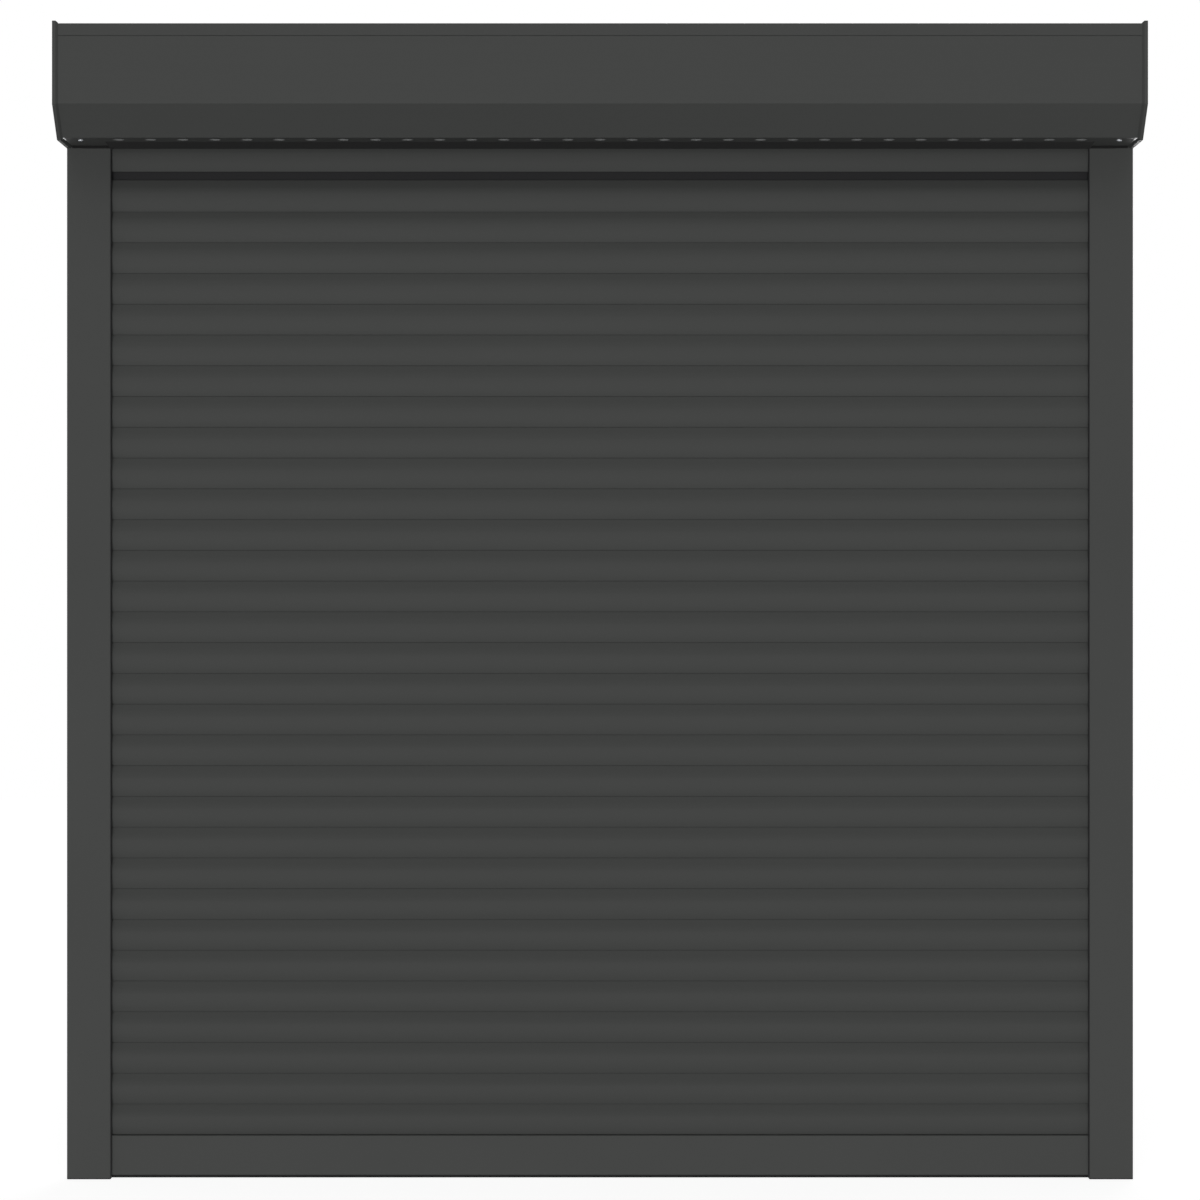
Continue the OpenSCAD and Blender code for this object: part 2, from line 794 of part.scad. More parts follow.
// Slat section: a closed skin with a convex front, a lip, a pocket below and a hook on top.
// The belly is the arc that runs on from the crown and touches the lip.
module slat_section() {
    lip_r = lip_w / 2;
    lip_back = lean_point(crown_r, slat_pitch)[0] + clear;
    lip_centre = [lip_back + lip_r, lip_r];
    reach = [slat_t, slat_pitch - crown_h] - lip_centre;
    belly_r = (reach * reach - lip_r * lip_r) / (2 * (reach[0] - lip_r));
    belly_centre = [slat_t - belly_r, slat_pitch - crown_h];
    lip_turn = asin(reach[1] / (belly_r - lip_r));
    core_r = crown_r - skin_t;
    core_top = slat_pitch - clear - skin_t;
    core_back = pocket_front + skin_t;
    core_z = pocket_z + 2 * skin_t;
    core_turn = asin((belly_centre[1] - core_z) / (belly_r - skin_t));
    difference() {
        polygon(concat(
            [[0, 0], [0, slat_pitch - clear], [neck_back, slat_pitch - clear]],
            hook_points(slat_pitch),
            [[neck_front, crown_top]],
            rounded_corner([neck_front, crown_top], lean_point(crown_r, crown_top), on_crown(crown_r),
                shoulder_r, shoulder_steps),
            arc(crown_centre, crown_r, crown_lean, 0, crown_steps),
            arc_after(belly_centre, belly_r, 0, -lip_turn, crown_steps),
            arc_after(lip_centre, lip_r, -lip_turn, -180, lip_steps),
            [[lip_back, ledge_z], [ledge_tip, ledge_z], [ledge_tip, pocket_z],
             [pocket_front, pocket_z],
             [pocket_front, pocket_top], [skin_t, pocket_top], [skin_t, 0]]));
        polygon(concat(
            [[core_back, core_z], [core_back, pocket_top + skin_t],
             [skin_t, pocket_top + skin_t], [skin_t, core_top], lean_point(core_r, core_top)],
            arc(crown_centre, core_r, crown_lean, 0, crown_steps),
            arc_after(belly_centre, belly_r - skin_t, 0, -core_turn, crown_steps)));
    }
}

// The upper end of a crown of radius r
function on_crown(r) = crown_centre + r * [cos(crown_lean), sin(crown_lean)];

// The point at height z on the leaning front above a crown of radius r
function lean_point(r, z) =
    let (from = on_crown(r))
    [from[0] - (z - from[1]) * tan(crown_lean), z];

// The hook from the rear of its neck to the neck's front, over a body that ends at height top
function hook_points(top) = [
    [neck_back, top + hook_top], [neck_back + hook_w, top + hook_top],
    [neck_back + hook_w, top + hook_z], [neck_front, top + hook_z]];

module slat(i)
    color(anthracite)
        translate([0, -slat_back, slat_z(i)])
            along_x(-slat_l / 2, slat_l / 2)
                slat_section();

module top_slat()
    slat(slat_count + 1);

// Bottom bar: a hollow extrusion with the slats' hook on top and a groove for the seal below
module bar_section() {
    top = bar_h - clear;
    shelf = seal_head_h + 2 * bar_wall;
    difference() {
        polygon(concat(
            [[0, 0], [0, top], [neck_back, top]],
            hook_points(bar_h),
            [[neck_front, top]],
            rounded_corner([0, top], [slat_t, top], [slat_t, 0], bar_edge_r, 4),
            rounded_corner([slat_t, top], [slat_t, 0], [0, 0], bar_edge_r, 4)));
        translate([bar_wall, shelf])
            square([slat_t - 2 * bar_wall, top - shelf - bar_wall]);
        seal_groove();
    }
}

// Groove of the bottom seal
module seal_groove() {
    translate([slat_t / 2 - seal_neck / 2, -cut])
        square([seal_neck, bar_wall + seal_head_h / 2 + cut]);
    translate([slat_t / 2 - seal_head_w / 2, bar_wall])
        square([seal_head_w, seal_head_h]);
}

// The bottom seal: a root in the groove, a neck and a foot under the bar
function bottom_seal_outline() =
    let (middle = slat_t / 2,
         neck = seal_neck / 2 - seal_fit,
         head = seal_head_w / 2 - seal_fit,
         head_from = bar_wall + seal_fit,
         head_to = bar_wall + seal_head_h - seal_fit,
         foot = middle - bar_edge_r,
         low = seal_lift - bar_lift)
    concat(
        [[middle - neck, 0], [middle - neck, head_from], [middle - head, head_from],
         [middle - head, head_to], [middle + head, head_to], [middle + head, head_from],
         [middle + neck, head_from], [middle + neck, 0]],
        rounded_path([[middle + foot, 0], [middle + foot, low],
                      [middle - foot, low], [middle - foot, 0]], seal_edge_r));

module in_bar()
    translate([0, -slat_back, bar_lift])
        along_x(-slat_l / 2, slat_l / 2)
            children();

module bottom_bar()
    color(anthracite)
        in_bar()
            bar_section();

module bottom_seal()
    color("#141414")
        in_bar()
            polygon(bottom_seal_outline());

// Glides: end pieces of the bar that run in the rails' channels
module bar_glide()
    color("#2b2b2b")
        translate([0, -slat_back, bar_lift]) {
            along_x(slat_l / 2, slat_l / 2 + glide_l)
                polygon(rounded_outline([[0, 0], [slat_t, 0], [slat_t, bar_h], [0, bar_h]], bar_edge_r));
            along_x(slat_l / 2 - glide_stem_l, slat_l / 2 + eps)
                translate([bar_wall + clear, seal_head_h + 2 * bar_wall + clear])
                    square([slat_t - 2 * (bar_wall + clear),
                            bar_h - seal_head_h - 3 * bar_wall - 3 * clear]);
        }

module bar_glide_left()
    left_hand()
        bar_glide();

module bar_glide_right()
    bar_glide();

box_top_shell();
box_front_cover();
end_cap_left();
end_cap_right();
screws();
guide_rail_left();
guide_rail_right();
rail_seals_left();
rail_seals_right();
rail_foot_left();
rail_foot_right();
inlet_funnel_left();
inlet_funnel_right();
winding_tube();
idler_plug();
idler_pin();
bearing_inner_ring();
bearing_outer_ring();
tubular_motor();
running_ring();
motor_shaft();
drive_wheel();
motor_bracket();
hanging_straps();
bottom_bar();
bottom_seal();
bar_glide_left();
bar_glide_right();
top_slat();
for (i = [1:slat_count]) slat(i);
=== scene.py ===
"""Exterior roller shutter: finishes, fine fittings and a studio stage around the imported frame."""

import math

import bmesh
import bpy
from mathutils import Matrix, Vector


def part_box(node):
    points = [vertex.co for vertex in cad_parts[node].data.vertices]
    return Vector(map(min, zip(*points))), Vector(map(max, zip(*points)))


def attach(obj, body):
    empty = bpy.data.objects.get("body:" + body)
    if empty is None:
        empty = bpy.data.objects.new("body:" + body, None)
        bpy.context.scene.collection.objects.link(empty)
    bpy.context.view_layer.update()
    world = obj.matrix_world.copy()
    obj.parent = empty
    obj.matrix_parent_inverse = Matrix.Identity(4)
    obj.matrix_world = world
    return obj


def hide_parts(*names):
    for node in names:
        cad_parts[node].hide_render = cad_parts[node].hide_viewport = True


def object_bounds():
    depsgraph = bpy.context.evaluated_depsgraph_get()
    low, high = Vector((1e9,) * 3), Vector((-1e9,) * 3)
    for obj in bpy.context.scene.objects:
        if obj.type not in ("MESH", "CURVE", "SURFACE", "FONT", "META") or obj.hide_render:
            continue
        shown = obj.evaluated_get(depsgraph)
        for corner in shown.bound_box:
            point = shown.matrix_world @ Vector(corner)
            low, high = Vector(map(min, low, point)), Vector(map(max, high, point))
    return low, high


bl_info = {
    "name": "Exterior Roller Shutter",
    "version": (1, 0, 0),
    "blender": (4, 5, 0),
    "location": "View3D > Sidebar > Shutter",
    "description": "Dresses the frame of a roller shutter and sets it in a plain studio",
    "category": "Object",
}

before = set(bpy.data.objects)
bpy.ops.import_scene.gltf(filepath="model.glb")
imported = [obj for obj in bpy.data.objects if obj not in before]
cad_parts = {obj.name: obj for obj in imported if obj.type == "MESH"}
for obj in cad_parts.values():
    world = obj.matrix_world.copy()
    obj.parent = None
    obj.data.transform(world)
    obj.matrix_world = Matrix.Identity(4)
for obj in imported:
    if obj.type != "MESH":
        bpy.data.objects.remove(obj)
CAD_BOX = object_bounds()

MM = 0.001
SLATS = [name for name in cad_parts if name.startswith("slat_")]
SIDES = (("left", -1), ("right", 1))

# Colour sockets of a Mix node, taken by number because its other kinds of value share their names
MIX_A, MIX_B, MIX_RESULT = 6, 7, 2

# Places read from the frame, in metres
WALL_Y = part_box("box_top_shell")[1].y
COVER_LOW, COVER_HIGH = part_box("box_front_cover")
SLAT_LOW, SLAT_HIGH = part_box("slat_1")
BRACKET_LOW, BRACKET_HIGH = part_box("motor_bracket")


# Properties: the sizes and colours that a user would change

class ShutterFittings(bpy.types.PropertyGroup):
    """Sizes of the fittings that are modelled here."""

    vent_count: bpy.props.IntProperty(
        name="Vents", description="Number of vent holes in the cover", default=31, min=1)
    vent_pitch: bpy.props.FloatProperty(
        name="Vent pitch", description="Distance between vent holes", default=38.6 * MM, unit="LENGTH")
    vent_diameter: bpy.props.FloatProperty(
        name="Vent diameter", description="Diameter of a vent hole", default=14.4 * MM, unit="LENGTH")
    vent_collar: bpy.props.FloatProperty(
        name="Vent collar", description="Height of a vent hole's drawn collar", default=2.4 * MM,
        unit="LENGTH")
    vent_from_wall: bpy.props.FloatProperty(
        name="Vents from wall", description="Distance of vents and cover screws from the wall",
        default=81 * MM, unit="LENGTH")
    screw_head: bpy.props.FloatProperty(
        name="Screw head", description="Diameter of a screw's head", default=7 * MM, unit="LENGTH")
    screw_head_height: bpy.props.FloatProperty(
        name="Head height", description="Height of a screw's head", default=1.8 * MM, unit="LENGTH")
    screw_shank: bpy.props.FloatProperty(
        name="Shank", description="Diameter of a screw's shank", default=3.7 * MM, unit="LENGTH")
    cover_screw_in: bpy.props.FloatProperty(
        name="Cover screws", description="Distance of the cover screws from the outside of the caps",
        default=26 * MM, unit="LENGTH")
    bracket_pitch: bpy.props.FloatProperty(
        name="Bracket screws", description="Distance between the bracket's screws",
        default=48 * MM, unit="LENGTH")
    pile_pitch: bpy.props.FloatProperty(
        name="Pile pitch", description="Distance between tufts of the rails' brush seals",
        default=1.6 * MM, unit="LENGTH")
    slot_from_wall: bpy.props.FloatProperty(
        name="Slot", description="Distance of the curtain slot's front edge from the wall",
        default=24 * MM, unit="LENGTH")
    # The slot lip is a rubber lip whose black in part paints the shade in the slot
    slot_lip_and_shade: bpy.props.FloatProperty(
        name="Slot lip", description="Height of the rubber lip under the slot's front edge",
        default=2.7 * MM, unit="LENGTH")
    # Sizes of the dark wedge that paints shade under the cover's rear
    apron_depth: bpy.props.FloatProperty(
        name="Apron", description="Depth of the wedge in front of the curtain slot", default=40 * MM,
        unit="LENGTH")
    apron_height: bpy.props.FloatProperty(
        name="Apron height", description="Height of the wedge at the curtain slot", default=3.4 * MM,
        unit="LENGTH")
    mouth_lip: bpy.props.FloatProperty(
        name="Mouth lip", description="Width of the lip on the edge of a rail's mouth", default=0.9 * MM,
        unit="LENGTH")
    seal_lip: bpy.props.FloatProperty(
        name="Seal lip", description="Height of the lip under the bottom seal", default=1.1 * MM,
        unit="LENGTH")
    pile_gap: bpy.props.FloatProperty(
        name="Pile gap", description="Distance of the brush seals from the slats",
        default=0.3 * MM, unit="LENGTH")


class ShutterFinishes(bpy.types.PropertyGroup):
    """Colours of the finishes, as sRGB hex values."""

    powder_coat: bpy.props.StringProperty(
        name="Powder coat", description="Coat of the caps, rails and bottom bar", default="#3f403f")
    coil_coat: bpy.props.StringProperty(
        name="Coil coat", description="Lacquer of the box sheet", default="#3f403f")
    # The slats' lacquer, drawn a shade darker than the same lacquer on the box: the difference is painted
    # shade against the stronger light on the slats
    slat_coat_and_shade: bpy.props.StringProperty(
        name="Slat coat", description="Lacquer of the slats", default="#3d3e3d")
    # Painted shade: a dark colour on the slats' hook strips that stands in for the shade in the recess
    # between slats
    hook_strip_painted_shade: bpy.props.StringProperty(
        name="Sliding film", description="Film on the slats' hook strips", default="#222223")
    moulded_black: bpy.props.StringProperty(
        name="Moulded plastic", description="Feet, funnels, glides, plugs and edging", default="#1f1f20")
    rubber_black: bpy.props.StringProperty(
        name="Rubber", description="Bottom seal and slot lip", default="#131313")
    # Painted shade: the dark apron under the cover stands in for the shade at the rear of the cover's
    # underside
    apron_painted_shade: bpy.props.StringProperty(
        name="Apron", description="Rubber wedge in front of the curtain slot", default="#262626")
    brush_black: bpy.props.StringProperty(
        name="Brush", description="Pile of the rails' seals", default="#161616")
    zinc: bpy.props.StringProperty(
        name="Zinc", description="Screws, bracket and tube", default="#b9bcc0")
    bare_aluminium: bpy.props.StringProperty(
        name="Bare aluminium", description="Cut ends of the cover", default="#c9cacb")
    # Painted shade: the vent collars are bare aluminium, drawn in a dull grey that stands in for the
    # shade inside the holes
    vent_painted_shade: bpy.props.StringProperty(
        name="Painted shade", description="Collars of the vent holes", default="#696a6a")
    bright_steel: bpy.props.StringProperty(
        name="Bright steel", description="Pin, shaft and bearing rings", default="#a7a8aa")
    blued_steel: bpy.props.StringProperty(
        name="Spring steel", description="Hanging straps", default="#565b61")
    motor_enamel: bpy.props.StringProperty(
        name="Motor enamel", description="Casing of the motor", default="#dcdcd8")


class ShutterStudio(bpy.types.PropertyGroup):
    """The stage: camera, lamps and floor."""

    camera_distance: bpy.props.FloatProperty(
        name="Camera", description="Distance of the camera from the wall", default=4.224, unit="LENGTH")
    camera_height: bpy.props.FloatProperty(
        name="Camera height", description="Height of the camera", default=0.7064, unit="LENGTH")
    lens: bpy.props.FloatProperty(
        name="Lens", description="Focal length on a 36 mm sensor, in millimetres", default=103.38)
    front_strength: bpy.props.FloatProperty(
        name="Front lamp", description="Strength of the distant lamp in front", default=1.83, min=0)
    top_strength: bpy.props.FloatProperty(
        name="Top lamp", description="Strength of the distant lamp above", default=0.64, min=0)
    rear_strength: bpy.props.FloatProperty(
        name="Rear lamp", description="Strength of the distant lamp behind", default=2.2, min=0)
    ambient: bpy.props.FloatProperty(
        name="Ambient", description="Strength of the even light from all around", default=0.27, min=0)
    floor_colour: bpy.props.StringProperty(
        name="Floor", description="Colour of the floor, as an sRGB hex value", default="#ededed")


# Small tools

def linear(hex_colour):
    """A linear colour with full alpha from an sRGB hex value."""
    channels = [int(hex_colour[i:i + 2], 16) / 255 for i in (1, 3, 5)]
    return tuple(c / 12.92 if c <= 0.04045 else ((c + 0.055) / 1.055) ** 2.4 for c in channels) + (1.0,)


def add(tree, kind, inputs=None, **settings):
    """Adds a node, with its settings and with values or links for its inputs."""
    node = tree.nodes.new(kind)
    for name, value in settings.items():
        setattr(node, name, value)
    for name, value in (inputs or {}).items():
        if isinstance(value, bpy.types.NodeSocket):
            tree.links.new(value, node.inputs[name])
        else:
            node.inputs[name].default_value = value
    return node


def new_material(name):
    """An empty material and its node tree."""
    material = bpy.data.materials.new(name)
    material.use_nodes = True
    material.node_tree.nodes.clear()
    return material, material.node_tree


def shade(hex_colour, factor):
    """A linear colour made lighter or darker by a factor."""
    return tuple(c * factor for c in linear(hex_colour)[:3]) + (1.0,)


def fittings():
    """The sizes of the fittings."""
    return bpy.context.scene.shutter_fittings


def finishes():
    """The colours of the finishes."""
    return bpy.context.scene.shutter_finishes


def studio():
    """The settings of the stage."""
    return bpy.context.scene.shutter_studio


def new_piece(name, mesh, material, body):
    """Makes an object of a finished bmesh, with its material and body."""
    bmesh.ops.recalc_face_normals(mesh, faces=mesh.faces)
    data = bpy.data.meshes.new(name)
    mesh.to_mesh(data)
    mesh.free()
    data.materials.append(material)
    piece = bpy.data.objects.new(name, data)
    bpy.context.scene.collection.objects.link(piece)
    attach(piece, body)
    return piece


def dress(names, material):
    """Gives frame nodes a material and soft shading."""
    for name in names:
        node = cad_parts[name]
        node.data.materials.clear()
        node.data.materials.append(material)
        node.modifiers.new("Soft shading", "NODES").node_group = soft_shading()
        weighted = node.modifiers.new("Flat faces stay flat", "WEIGHTED_NORMAL")
        weighted.keep_sharp = True
        weighted.weight = 100


def soft_shading():
    """A modifier that joins loose triangles and shades them smoothly, up to an angle between faces."""
    name = "Soft shading"
    merge_distance, sharp_angle = 0.005 * MM, math.radians(25)
    if name in bpy.data.node_groups:
        return bpy.data.node_groups[name]
    tree = bpy.data.node_groups.new(name, "GeometryNodeTree")
    tree.interface.new_socket("Geometry", in_out="INPUT", socket_type="NodeSocketGeometry")
    tree.interface.new_socket("Geometry", in_out="OUTPUT", socket_type="NodeSocketGeometry")
    source = add(tree, "NodeGroupInput")
    joined = add(tree, "GeometryNodeMergeByDistance",
                 {"Geometry": source.outputs[0], "Distance": merge_distance})
    angle = add(tree, "GeometryNodeInputMeshEdgeAngle")
    sharp = add(tree, "FunctionNodeCompare", {"A": angle.outputs[0], "B": sharp_angle},
                operation="GREATER_THAN", data_type="FLOAT")
    shaded = add(tree, "GeometryNodeSetMeshNormal",
                 {"Mesh": joined.outputs[0], "Edge Sharpness": sharp.outputs[0]}, mode="SHARPNESS")
    add(tree, "NodeGroupOutput", {0: shaded.outputs[0]})
    return tree


def soft_strip(low, high, rounding, front_rise=0.0):
    """A long strip between two corners, with rounded long edges and, if asked, a thinner front."""
    size, middle = high - low, (low + high) / 2
    mesh = bmesh.new()
    bmesh.ops.create_cube(mesh, size=1, matrix=Matrix.LocRotScale(middle, None, size))
    front = [v for v in mesh.verts if v.co.y < middle.y and v.co.z < middle.z]
    bmesh.ops.translate(mesh, verts=front, vec=(0, 0, front_rise))
    along = [e for e in mesh.edges if e.calc_length() > 0.9 * max(size)]
    bmesh.ops.bevel(mesh, geom=along, offset=rounding, affect="EDGES", segments=2, profile=0.5,
                    material=-1)
    return mesh


# Materials

def powder_coat(name, colour):
    """Polyester powder coat on aluminium, baked: an even satin skin with a fine orange peel."""
    peel_size, cloud_size = 2.5 * MM, 180 * MM
    material, tree = new_material(name)
    place = add(tree, "ShaderNodeTexCoord").outputs["Object"]
    peel = add(tree, "ShaderNodeTexNoise", {"Vector": place, "Scale": 1 / peel_size, "Detail": 2.0})
    cloud = add(tree, "ShaderNodeTexNoise", {"Vector": place, "Scale": 1 / cloud_size, "Detail": 3.0})
    tint = add(tree, "ShaderNodeMix",
               {"Factor": cloud.outputs[0], MIX_A: shade(colour, 0.95), MIX_B: shade(colour, 1.05)},
               data_type="RGBA")
    rough = add(tree, "ShaderNodeMapRange", {"Value": peel.outputs[0], "To Min": 0.46, "To Max": 0.54})
    bump = add(tree, "ShaderNodeBump",
               {"Height": peel.outputs[0], "Strength": 0.25, "Distance": 0.02 * MM})
    # A fine-textured coat has next to no mirror gloss
    shader = add(tree, "ShaderNodeBsdfPrincipled",
                 {"Base Color": tint.outputs[MIX_RESULT], "Roughness": rough.outputs[0],
                  "Specular IOR Level": 0.05, "Normal": bump.outputs[0]})
    add(tree, "ShaderNodeOutputMaterial", {"Surface": shader.outputs[0]})
    return material


def coil_coat(name, colour, painted_shade=None):
    """Lacquer rolled on aluminium coil before forming: smooth satin with faint streaks along the roll.

    With a colour for painted shade, the hook strips at the slats' rear are painted dark, standing in for
    the shade in the recess between slats.
    """
    streak_size, streak_stretch = 6 * MM, 0.02
    material, tree = new_material(name)
    place = add(tree, "ShaderNodeTexCoord").outputs["Object"]
    along = add(tree, "ShaderNodeMapping", {"Vector": place, "Scale": (streak_stretch, 1, 1)})
    streak = add(tree, "ShaderNodeTexNoise",
                 {"Vector": along.outputs[0], "Scale": 1 / streak_size, "Detail": 4.0})
    tint = add(tree, "ShaderNodeMix",
               {"Factor": streak.outputs[0], MIX_A: shade(colour, 0.97), MIX_B: shade(colour, 1.03)},
               data_type="RGBA")
    if painted_shade:
        # The hook strip's faces lie within this band of depths, in front of the slats' rear, and get the
        # dark painted shade
        strip_depth, strip_reach = 1.4 * MM, 0.7 * MM
        depth = add(tree, "ShaderNodeSeparateXYZ", {"Vector": place}).outputs["Y"]
        strip = add(tree, "ShaderNodeMath",
                    {0: depth, 1: SLAT_HIGH.y - strip_depth, 2: strip_reach}, operation="COMPARE")
        tint = add(tree, "ShaderNodeMix",
                   {"Factor": strip.outputs[0], MIX_A: tint.outputs[MIX_RESULT], MIX_B: linear(painted_shade)},
                   data_type="RGBA")
    rough = add(tree, "ShaderNodeMapRange", {"Value": streak.outputs[0], "To Min": 0.46, "To Max": 0.54})
    bump = add(tree, "ShaderNodeBump",
               {"Height": streak.outputs[0], "Strength": 0.1, "Distance": 0.02 * MM})
    # A matt lacquer has next to no mirror gloss
    shader = add(tree, "ShaderNodeBsdfPrincipled",
                 {"Base Color": tint.outputs[MIX_RESULT], "Roughness": rough.outputs[0],
                  "Specular IOR Level": 0.05, "Normal": bump.outputs[0]})
    add(tree, "ShaderNodeOutputMaterial", {"Surface": shader.outputs[0]})
    return material


def moulded_plastic(name, colour):
    """Polyamide, moulded in a spark-eroded tool: matt with a fine grain."""
    # The grain is drawn coarser than the real one, so that it shows
    grain_size = 0.8 * MM
    material, tree = new_material(name)
    place = add(tree, "ShaderNodeTexCoord").outputs["Object"]
    grain = add(tree, "ShaderNodeTexNoise", {"Vector": place, "Scale": 1 / grain_size, "Detail": 2.0})
    tint = add(tree, "ShaderNodeMix",
               {"Factor": grain.outputs[0], MIX_A: shade(colour, 0.9), MIX_B: shade(colour, 1.1)},
               data_type="RGBA")
    bump = add(tree, "ShaderNodeBump",
               {"Height": grain.outputs[0], "Strength": 0.3, "Distance": 0.03 * MM})
    shader = add(tree, "ShaderNodeBsdfPrincipled",
                 {"Base Color": tint.outputs[MIX_RESULT], "Roughness": 0.75, "IOR": 1.53,
                  "Specular IOR Level": 0.2, "Normal": bump.outputs[0]})
    add(tree, "ShaderNodeOutputMaterial", {"Surface": shader.outputs[0]})
    return material


def extruded_rubber(name, colour):
    """EPDM rubber, extruded: dull black with faint lines along the strip."""
    # The lines are drawn coarser than the real ones, so that they show
    line_size, line_stretch = 0.7 * MM, 0.01
    material, tree = new_material(name)
    place = add(tree, "ShaderNodeTexCoord").outputs["Object"]
    along = add(tree, "ShaderNodeMapping", {"Vector": place, "Scale": (line_stretch, 1, 1)})
    line = add(tree, "ShaderNodeTexNoise", {"Vector": along.outputs[0], "Scale": 1 / line_size})
    tint = add(tree, "ShaderNodeMix",
               {"Factor": line.outputs[0], MIX_A: shade(colour, 0.85), MIX_B: shade(colour, 1.15)},
               data_type="RGBA")
    bump = add(tree, "ShaderNodeBump",
               {"Height": line.outputs[0], "Strength": 0.3, "Distance": 0.03 * MM})
    shader = add(tree, "ShaderNodeBsdfPrincipled",
                 {"Base Color": tint.outputs[MIX_RESULT], "Roughness": 0.8, "IOR": 1.52,
                  "Specular IOR Level": 0.15, "Normal": bump.outputs[0]})
    add(tree, "ShaderNodeOutputMaterial", {"Surface": shader.outputs[0]})
    return material


def brush_pile(name, colour):
    """Polypropylene pile: dull black fibres with a little sheen."""
    # The fibres are drawn coarser than the real ones, so that they show
    fibre_size = 0.5 * MM
    material, tree = new_material(name)
    place = add(tree, "ShaderNodeTexCoord").outputs["Object"]
    fibre = add(tree, "ShaderNodeTexNoise", {"Vector": place, "Scale": 1 / fibre_size})
    tint = add(tree, "ShaderNodeMix",
               {"Factor": fibre.outputs[0], MIX_A: shade(colour, 0.7), MIX_B: shade(colour, 1.4)},
               data_type="RGBA")
    shader = add(tree, "ShaderNodeBsdfPrincipled",
                 {"Base Color": tint.outputs[MIX_RESULT], "Roughness": 0.9, "Sheen Weight": 0.3})
    add(tree, "ShaderNodeOutputMaterial", {"Surface": shader.outputs[0]})
    return material


def zinc_plate(name, colour):
    """Zinc on steel: a soft silver metal with cloudy crystals."""
    crystal_size = 7 * MM
    material, tree = new_material(name)
    place = add(tree, "ShaderNodeTexCoord").outputs["Object"]
    crystal = add(tree, "ShaderNodeTexVoronoi", {"Vector": place, "Scale": 1 / crystal_size})
    tone = add(tree, "ShaderNodeSeparateColor", {"Color": crystal.outputs["Color"]}).outputs[0]
    tint = add(tree, "ShaderNodeMix",
               {"Factor": tone, MIX_A: shade(colour, 0.88), MIX_B: shade(colour, 1.08)},
               data_type="RGBA")
    rough = add(tree, "ShaderNodeMapRange", {"Value": tone, "To Min": 0.3, "To Max": 0.45})
    shader = add(tree, "ShaderNodeBsdfPrincipled",
                 {"Base Color": tint.outputs[MIX_RESULT], "Metallic": 1.0, "Roughness": rough.outputs[0]})
    add(tree, "ShaderNodeOutputMaterial", {"Surface": shader.outputs[0]})
    return material


def cut_metal(name, colour, roughness):
    """Bare metal as a tool left it: fine parallel marks."""
    # The marks are drawn coarser than the real ones, so that they show
    mark_size, mark_stretch = 0.6 * MM, 0.05
    material, tree = new_material(name)
    place = add(tree, "ShaderNodeTexCoord").outputs["Object"]
    along = add(tree, "ShaderNodeMapping", {"Vector": place, "Scale": (1, mark_stretch, 1)})
    mark = add(tree, "ShaderNodeTexNoise", {"Vector": along.outputs[0], "Scale": 1 / mark_size})
    tint = add(tree, "ShaderNodeMix",
               {"Factor": mark.outputs[0], MIX_A: shade(colour, 0.85), MIX_B: shade(colour, 1.05)},
               data_type="RGBA")
    bump = add(tree, "ShaderNodeBump",
               {"Height": mark.outputs[0], "Strength": 0.2, "Distance": 0.02 * MM})
    shader = add(tree, "ShaderNodeBsdfPrincipled",
                 {"Base Color": tint.outputs[MIX_RESULT], "Metallic": 1.0, "Roughness": roughness,
                  "Normal": bump.outputs[0]})
    add(tree, "ShaderNodeOutputMaterial", {"Surface": shader.outputs[0]})
    return material


def enamel(name, colour):
    """Stove enamel on the motor's steel tube: smooth and slightly glossy."""
    peel_size = 3 * MM
    material, tree = new_material(name)
    place = add(tree, "ShaderNodeTexCoord").outputs["Object"]
    peel = add(tree, "ShaderNodeTexNoise", {"Vector": place, "Scale": 1 / peel_size})
    tint = add(tree, "ShaderNodeMix",
               {"Factor": peel.outputs[0], MIX_A: shade(colour, 0.97), MIX_B: shade(colour, 1.02)},
               data_type="RGBA")
    shader = add(tree, "ShaderNodeBsdfPrincipled",
                 {"Base Color": tint.outputs[MIX_RESULT], "Roughness": 0.35, "Coat Weight": 0.2})
    add(tree, "ShaderNodeOutputMaterial", {"Surface": shader.outputs[0]})
    return material


# Pieces

class SHUTTER_OT_box(bpy.types.Operator):
    """Dress the box, give its vents their collars and bare the cut ends of its cover"""

    bl_idname = "shutter.box"
    bl_label = "Box"

    def execute(self, context):
        dress(["box_top_shell", "box_front_cover"], coil_coat("Coil-coated sheet", finishes().coil_coat))
        dress(["end_cap_left", "end_cap_right"], powder_coat("Coated cast caps", finishes().powder_coat))
        bare = cut_metal("Bare punched aluminium", finishes().bare_aluminium, 0.4)
        # The vent collars' dull grey coat is painted shade inside the holes
        new_piece("vent_collars", vent_collars(), powder_coat("Primer in the vents", finishes().vent_painted_shade),
                  "frame")
        new_piece("cover_cut_ends", cover_cut_ends(), bare, "frame")
        return {"FINISHED"}


def vent_collars():
    """The drawn collars of the vent holes, as thin sleeves spun round each hole's axis."""
    sizes = fittings()
    wall, inset = 0.15 * MM, 0.03 * MM
    outer = sizes.vent_diameter / 2 - inset
    low, high = COVER_LOW.z + inset, COVER_LOW.z + sizes.vent_collar
    corners = [(outer, low), (outer, high), (outer - wall, high), (outer - wall, low)]
    row_y = WALL_Y - sizes.vent_from_wall
    mesh = bmesh.new()
    for i in range(sizes.vent_count):
        middle = Vector(((i - (sizes.vent_count - 1) / 2) * sizes.vent_pitch, row_y, 0))
        points = [mesh.verts.new(middle + Vector((r, 0, z))) for r, z in corners]
        edges = [mesh.edges.new((points[k - 1], points[k])) for k in range(len(points))]
        bmesh.ops.spin(mesh, geom=points + edges, cent=middle, axis=(0, 0, 1), angle=math.tau,
                       steps=32, use_merge=True)
    return mesh


